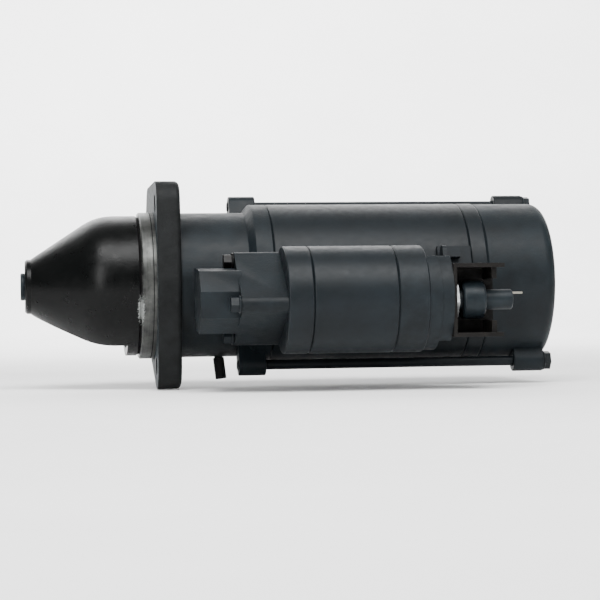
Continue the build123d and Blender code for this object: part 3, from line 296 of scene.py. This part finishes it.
# ---------------------------------------------------------------- yoke and brush ring
# The yoke is a rolled and welded steel tube that holds the magnets, and the brush ring is a short piece of
# the same tube. On smooth steel the paint lies flat, with broad soft highlights and hardly any grain.
charcoal = finish("charcoal paint", "0c1114", "12181c", patch=34, grain=0.7, depth=0.03, rough=(0.4, 0.5))
for node, name in [("yoke", "yoke_tube"), ("brush_ring", "brush_ring_tube")]:
    piece = soften(node, name, 0.4)
    piece.data.materials.append(charcoal)
    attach(piece, "housing")
    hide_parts(node)

# ---------------------------------------------------------------- rear cover
# An aluminium die casting that closes the motor and carries the rear lugs of the through bolts. It has the
# same paint as the drive housing.
piece = soften("rear_cover", "rear_casting", 0.8, rounder=(at_lug, 1.6))
piece.data.materials.append(cast_charcoal)
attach(piece, "housing")
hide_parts("rear_cover")

# ---------------------------------------------------------------- solenoid case, copper strap and its seal
# The case is deep-drawn steel, held to the bracket by a thicker steel ring. A copper strap leads from it
# into the motor through a rubber seal. All of them were sprayed over with the motor.
for node, name, width in [("solenoid_ring", "solenoid_mount_ring", 0.5),
                          ("solenoid_can", "solenoid_case", 0.4),
                          ("motor_link", "motor_strap", 0.4),
                          ("lead_grommet", "lead_seal", 0.7)]:
    piece = soften(node, name, width)
    piece.data.materials.append(charcoal)
    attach(piece, "housing")
    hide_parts(node)

# ---------------------------------------------------------------- through bolts
# Two long steel bolts outside the tube clamp the rear cover, the tubes and the drive housing together. They
# were fitted before the motor was sprayed, so they are painted too.
piece = soften("through_bolts", "long_bolts", 0.3)
piece.data.materials.append(charcoal)
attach(piece, "housing")
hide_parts("through_bolts")

# ---------------------------------------------------------------- moulded cap and terminal guard
# Both are compression-moulded phenolic. They are painted with the case from outside, with a little more
# texture than on steel. The guard is bare within, dull and brownish, and is coloured darker there as painted
# shade.
cap_paint = finish("painted moulding", "0e1316", "151b1f", patch=16, grain=0.7, depth=0.04,
                   rough=(0.44, 0.56))
phenolic = finish("bare phenolic darkened as painted shade", "0a0908", "12100e", patch=9, grain=0.5, depth=0.06, rough=(0.5, 0.68))
cap = soften("solenoid_cap", "contact_cap", 0.5)
cap.data.materials.append(cap_paint)
guard = soften("terminal_guard", "stud_guard", 0.45)
guard_low, guard_high = [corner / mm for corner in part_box("terminal_guard")]
shelf = 1.2         # mm of shelf above and below that stays painted
rear_wall = 1.0


def guard_finish(centre, normal):
    """1 for the bare faces between the guard's two shelves, darkened as painted shade, and 0 for the painted
    ones.
    """
    between = guard_low.z + shelf < centre.z < guard_high.z - shelf
    return 1 if between and centre.x < guard_high.x - rear_wall else 0


coat_faces(guard, [cap_paint, phenolic], guard_finish)
for piece, node in [(cap, "solenoid_cap"), (guard, "terminal_guard")]:
    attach(piece, "housing")
    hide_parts(node)

# ---------------------------------------------------------------- terminal nuts
# Steel nuts on the two large terminals. The outermost was fitted after painting and is bright zinc plate,
# and the others have thin paint with chipped corners.
hardware = finish("painted hardware", "10161a", "192024", patch=8, grain=0.5, depth=0.04, rough=(0.38, 0.5),
                  wear=0.3)
zinc = finish("bare zinc", "7d7f80", "a7a9a9", patch=3, grain=0.3, depth=0.03, rough=(0.3, 0.45), metal=0.8)
outer_nut = -80     # mm along Y: only the outermost nut is past this
nuts = soften("terminal_nuts", "lock_nuts", 0.35)
coat_faces(nuts, [zinc, hardware], lambda centre, normal: 0 if centre.y < outer_nut else 1)
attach(nuts, "housing")
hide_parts("terminal_nuts")

# ---------------------------------------------------------------- sleeve nut, terminal studs and nose plug
# The sleeve nut and the studs are turned from bar, and the plug is a pressed cup that closes the nose's
# bore. They have the same thin paint as the nuts.
for node, name, width in [("sleeve_nut", "round_nut", 0.7), ("terminal_studs", "stud_pair", 0.3),
                          ("nose_plug", "nose_cup", 0.4)]:
    piece = soften(node, name, width)
    piece.data.materials.append(hardware)
    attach(piece, "housing")
    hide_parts(node)

# ---------------------------------------------------------------- drain tube
# A short tube of black rubber pushed into a hole at the bottom of the drive housing, to let water out.
# Rubber is matt and soaks up the light.
rubber = finish("rubber", "0b0b0c", "151516", patch=5, grain=0.5, depth=0.08, rough=(0.7, 0.86))
piece = soften("drain_tube", "drain_pipe", 0.3)
piece.data.materials.append(rubber)
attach(piece, "housing")
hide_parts("drain_tube")

# ---------------------------------------------------------------- solenoid screws
# Steel screws that hold the solenoid's ring to the bracket. The upper one is blacked with an oil finish,
# dark with a low sheen, and the others were painted over.
screw_black = finish("black oxide screws", "020202", "060607", patch=4, grain=0.3, depth=0.03,
                     rough=(0.34, 0.46))
upper_screw = 4     # mm along Z: only the upper screw is past this
piece = soften("solenoid_screws", "solenoid_bolts", 0.3)
coat_faces(piece, [screw_black, charcoal], lambda centre, normal: 0 if centre.z > upper_screw else 1)
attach(piece, "housing")
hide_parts("solenoid_screws")

# ---------------------------------------------------------------- shafts, bearings, gears, clutch and plunger
# Hardened steel, ground where it runs on something. It is bright, with a fine clean sheen. These and the
# other inner pieces are closed in by the castings, so the CAD's own meshes are painted as they are.


def paint(material, nodes):
    """Gives the CAD nodes' own meshes this finish."""
    for node in nodes:
        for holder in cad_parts[node].material_slots:
            holder.material = material


ground_steel = finish("ground steel", "5a5d60", "75787b", patch=12, grain=0.3, depth=0.02, rough=(0.24, 0.38),
                      metal=0.95)
paint(ground_steel, ["armature_shaft", "bearing_inner", "bearing_outer", "centre_support", "clutch_cover",
                     "clutch_rollers", "clutch_shell", "contact_rod", "drive_pinion", "drive_shaft",
                     "lever_pin", "motor_shield", "planet_gear_1", "planet_gear_2", "planet_gear_3",
                     "planet_pins", "plunger", "solenoid_core", "stop_collar"])

# ---------------------------------------------------------------- plain bushes
# Bronze powder, pressed, sintered, soaked in oil and pushed into the castings and the shaft. It is a dull
# brown gold, with fine pores that break up its shine.
bronze = finish("sintered bronze", "5f472a", "7d6038", patch=4, grain=0.25, depth=0.03, rough=(0.4, 0.55),
                metal=0.9)
paint(bronze, ["nose_bush", "centre_bush", "pilot_bush"])

# ---------------------------------------------------------------- ring gear, coil former and commutator hub
# Injection-moulded nylon, which carries the gear's teeth, the coil and the copper bars. It is nearly black,
# and the glass fibre in it leaves its skin satin.
polymer = finish("glass-filled polymer", "121213", "1e1e20", patch=10, grain=0.4, depth=0.03,
                 rough=(0.5, 0.64))
paint(polymer, ["ring_gear", "coil_former", "commutator_hub"])

# ---------------------------------------------------------------- shift lever
# A steel forging that turns on a pin and pushes the pinion out. Its phosphate coat holds grease, and is
# dark grey, rough and almost matt.
forging = finish("phosphated forging", "17181a", "26282a", patch=7, grain=0.9, depth=0.1, rough=(0.5, 0.66),
                 metal=0.4)
paint(forging, ["shift_lever"])

# ---------------------------------------------------------------- field magnets
# Curved blocks of ferrite powder, pressed, fired and glued inside the yoke. They are charcoal grey and
# slightly chalky, like a ceramic.
ferrite = finish("ferrite", "141417", "202024", patch=6, grain=0.5, depth=0.05, rough=(0.55, 0.7))
paint(ferrite, ["field_magnets"])

# ---------------------------------------------------------------- armature core
# Thin steel sheets, stamped, stacked on the shaft and varnished together. Their edges show as fine rings,
# drawn at the thickness of one sheet, 0.5 mm.
laminations = finish("varnished laminations", "2c2f33", "43474c", patch=9, grain=0.5, depth=0.04,
                     rough=(0.35, 0.5), metal=0.6, lines=0.5)
paint(laminations, ["armature_core"])

# ---------------------------------------------------------------- windings, commutator and contact disc
# Copper bar and wire, bent to shape and seated in the core, the hub and the coil former, and a pressed disc
# on the contact rod. It is orange-brown and fairly bright.
copper = finish("bare copper", "8a4a2c", "b56a42", patch=8, grain=0.4, depth=0.03,
                rough=(0.28, 0.44), metal=0.95)
paint(copper, ["commutator", "contact_disc", "armature_winding", "solenoid_winding"])

# ---------------------------------------------------------------- switch tab
# A flat blade of tinned copper for the push-on lead, moulded into a post of the guard. Tin is pale,
# slightly warm and softly bright.
tin = finish("tinned copper", "8d8a80", "b3afa3", patch=5, grain=0.3, depth=0.03,
             rough=(0.3, 0.42), metal=0.8)
paint(tin, ["switch_tab"])

# ---------------------------------------------------------------- brushes
# Four blocks of pressed carbon and copper powder, each sliding in a box so that it rubs on the commutator.
# They are black and matt.
carbon = finish("carbon", "0d0d0e", "1a1a1b", patch=4, grain=0.4, depth=0.04, rough=(0.6, 0.75))
paint(carbon, ["carbon_brush_1", "carbon_brush_2", "carbon_brush_3", "carbon_brush_4"])

# ---------------------------------------------------------------- brush plate, boxes and screws
# The plate and the brush boxes are pressed from plated sheet steel, pale and lightly brushed. Blacked
# screws hold the plate to the rear cover.
sheet = finish("pressed sheet", "66696c", "85888b", patch=14, grain=0.3, depth=0.02,
               rough=(0.3, 0.45), metal=0.9)
paint(sheet, ["brush_plate", "brush_boxes"])
paint(screw_black, ["brush_plate_screws"])

# ---------------------------------------------------------------- return spring
# A cold-wound steel wire spring round the plunger, which shortens as the plunger moves in. Drawn wire is
# grey and shiny.
wire = finish("spring wire", "3b3e42", "55595e", patch=6, grain=0.2, depth=0.02, rough=(0.28, 0.4), metal=0.9)
coil = soften("return_spring", "plunger_spring", 0)
coil.data.materials.append(wire)
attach(coil, "housing")
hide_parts("return_spring")
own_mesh(coil)

# ---------------------------------------------------------------- brush springs
# Each brush has a small wire spring behind it, on one of the four diagonals. It is shut in by the box's
# outer end and shortens as the brush lifts.
corners = [(1, 1), (-1, 1), (-1, -1), (1, -1)]      # the signs of Y and Z at brushes 1 to 4
springs = soften("brush_springs", "brush_spring", 0)
springs.data.materials.append(wire)
bpy.ops.object.mode_set(mode="EDIT")
bpy.ops.mesh.select_all(action="SELECT")
bpy.ops.mesh.separate(type="LOOSE")
bpy.ops.object.mode_set(mode="OBJECT")
for spring in list(bpy.context.selected_objects):
    middle = sum((v.co for v in spring.data.vertices), Vector()) / len(spring.data.vertices)
    corner = (int(math.copysign(1, middle.y)), int(math.copysign(1, middle.z)))
    number = corners.index(corner) + 1
    spring.name = f"brush_spring_{number}"
    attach(spring, "housing")
    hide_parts("brush_springs")
    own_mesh(spring)

# ---------------------------------------------------------------- backdrop
# A sheet of matt white paper that the motor lies on. Behind the motor it sweeps up in a quarter circle and
# runs on up the wall, so that no edge shows.
floor_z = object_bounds()[0].z - 0.5 * mm
half_width = 5
front = -3.0
bend_start = 1.2
bend_radius = 0.9
top = 4.0
paper = finish("pale paper", "f2f2f2", "fafafa", patch=400, grain=2.0, depth=0.02, rough=(0.8, 0.9))
bpy.ops.object.select_all(action="DESELECT")
bpy.ops.mesh.primitive_plane_add(size=1, location=(0, (front + bend_start) / 2, floor_z))
sweep = bpy.context.active_object
sweep.name = "backdrop"
sweep.scale = (2 * half_width, bend_start - front, 1)
bpy.ops.object.transform_apply(location=True, rotation=True, scale=True)
bpy.ops.object.mode_set(mode="EDIT")
bpy.ops.mesh.select_mode(type="EDGE")
bpy.ops.mesh.select_all(action="DESELECT")
paper_mesh = bmesh.from_edit_mesh(sweep.data)
for edge in paper_mesh.edges:
    edge.select_set(all(v.co.y > bend_start - mm for v in edge.verts))
bmesh.update_edit_mesh(sweep.data)
bend_centre = (0, bend_start, floor_z + bend_radius)
bpy.ops.mesh.spin(steps=9, angle=math.radians(-90), center=bend_centre, axis=(1, 0, 0))
bpy.ops.mesh.extrude_region_move(TRANSFORM_OT_translate={"value": (0, 0, top - bend_radius)})
bpy.ops.object.mode_set(mode="OBJECT")
bpy.ops.object.shade_smooth()
sweep.data.materials.append(paper)

# ---------------------------------------------------------------- lights
# Soft boxes: a broad key light above and in front, a narrow strip at the nose for its long highlight, a
# weak fill from the rear end, and one behind the motor that whitens the wall. The room adds an even white.
soft_boxes = [("key", (0.0, -0.85, 1.3), (0.08, 0.0, 0.0), 1.5, 0.8, 54),
              ("strip", (-0.85, -1.4, 0.5), (-0.03, 0, 0.02), 0.14, 0.9, 13),
              ("fill", (1.5, -1.2, 0.8), (0.1, 0, 0), 0.8, 0.8, 5),
              ("back", (0.1, 0.75, 1.5), (0.1, 2.1, 1.1), 2.6, 0.8, 150)]
for name, place, target, width, height, power in soft_boxes:
    soft_box = bpy.data.lights.new(name, "AREA")
    soft_box.shape = "RECTANGLE"
    soft_box.size = width
    soft_box.size_y = height
    soft_box.energy = power
    lamp = bpy.data.objects.new(name, soft_box)
    lamp.location = place
    lamp.rotation_euler = (Vector(target) - Vector(place)).to_track_quat("-Z", "Y").to_euler()
    bpy.context.scene.collection.objects.link(lamp)
room = bpy.data.worlds.new("studio")
room.use_nodes = True
room.node_tree.nodes["Background"].inputs["Color"].default_value = (1, 1, 1, 1)
room.node_tree.nodes["Background"].inputs["Strength"].default_value = 0.45
bpy.context.scene.world = room

# ---------------------------------------------------------------- camera
# A long lens on a stand about 1.2 m away, almost level with the motor's axis and a little towards its nose,
# so that the flange's front face just shows. It is rolled by less than a degree.
eye = Vector((-0.0907, -1.2165, -0.0099))
aim = Vector((0.0911, 0.0, -0.0099))
roll = math.radians(-0.7)
lens = bpy.data.cameras.new("camera")
lens.lens = 119.6
lens.sensor_width = 36
camera = bpy.data.objects.new("camera", lens)
facing = (aim - eye).to_track_quat("-Z", "Y").to_matrix().to_4x4()
camera.matrix_world = Matrix.Translation(eye) @ facing @ Matrix.Rotation(roll, 4, "Z")
bpy.context.scene.collection.objects.link(camera)
bpy.context.scene.camera = camera
